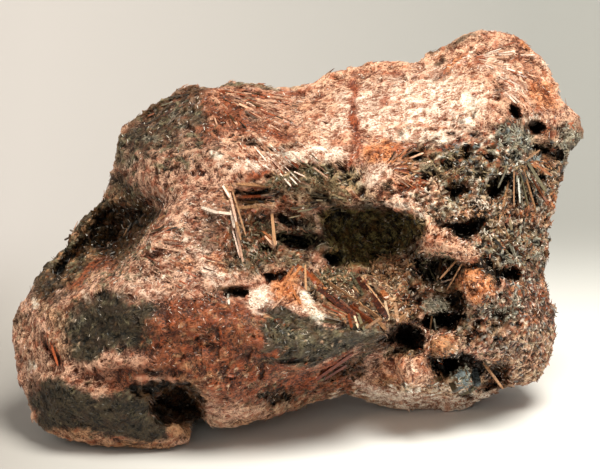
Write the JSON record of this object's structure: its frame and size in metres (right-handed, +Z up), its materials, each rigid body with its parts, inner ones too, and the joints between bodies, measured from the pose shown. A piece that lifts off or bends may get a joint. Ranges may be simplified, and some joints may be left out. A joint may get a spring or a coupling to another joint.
{
  "type": "manganoan diaspore specimen",
  "caption": "Broken lump of felted, bladed manganese-bearing diaspore with open crystal-lined hollows, resting on its flat lowest spots.",
  "frame": {"origin": "under the middle of the specimen's bounding box, on the surface that it rests on", "axes": "+X along the specimen's length, to the right as displayed; +Y away from the display side; +Z up"},
  "size_m": [0.087, 0.0544, 0.0566],
  "materials": {
    "diaspore_mass": "felted fibrous mineral, dull with small pearly glints",
    "main_hollow_crystals": "orange-brown bladed crystals, vitreous",
    "wedge_pocket_crystals": "brown needles, vitreous",
    "low_pocket_crystals": "grey stout crystals, vitreous"
  },
  "bodies": {
    "root": {"diaspore_mass": "diaspore_mass", "main_hollow_crystals": "main_hollow_crystals", "wedge_pocket_crystals": "wedge_pocket_crystals", "low_pocket_crystals": "low_pocket_crystals"}
  },
  "joints": []
}
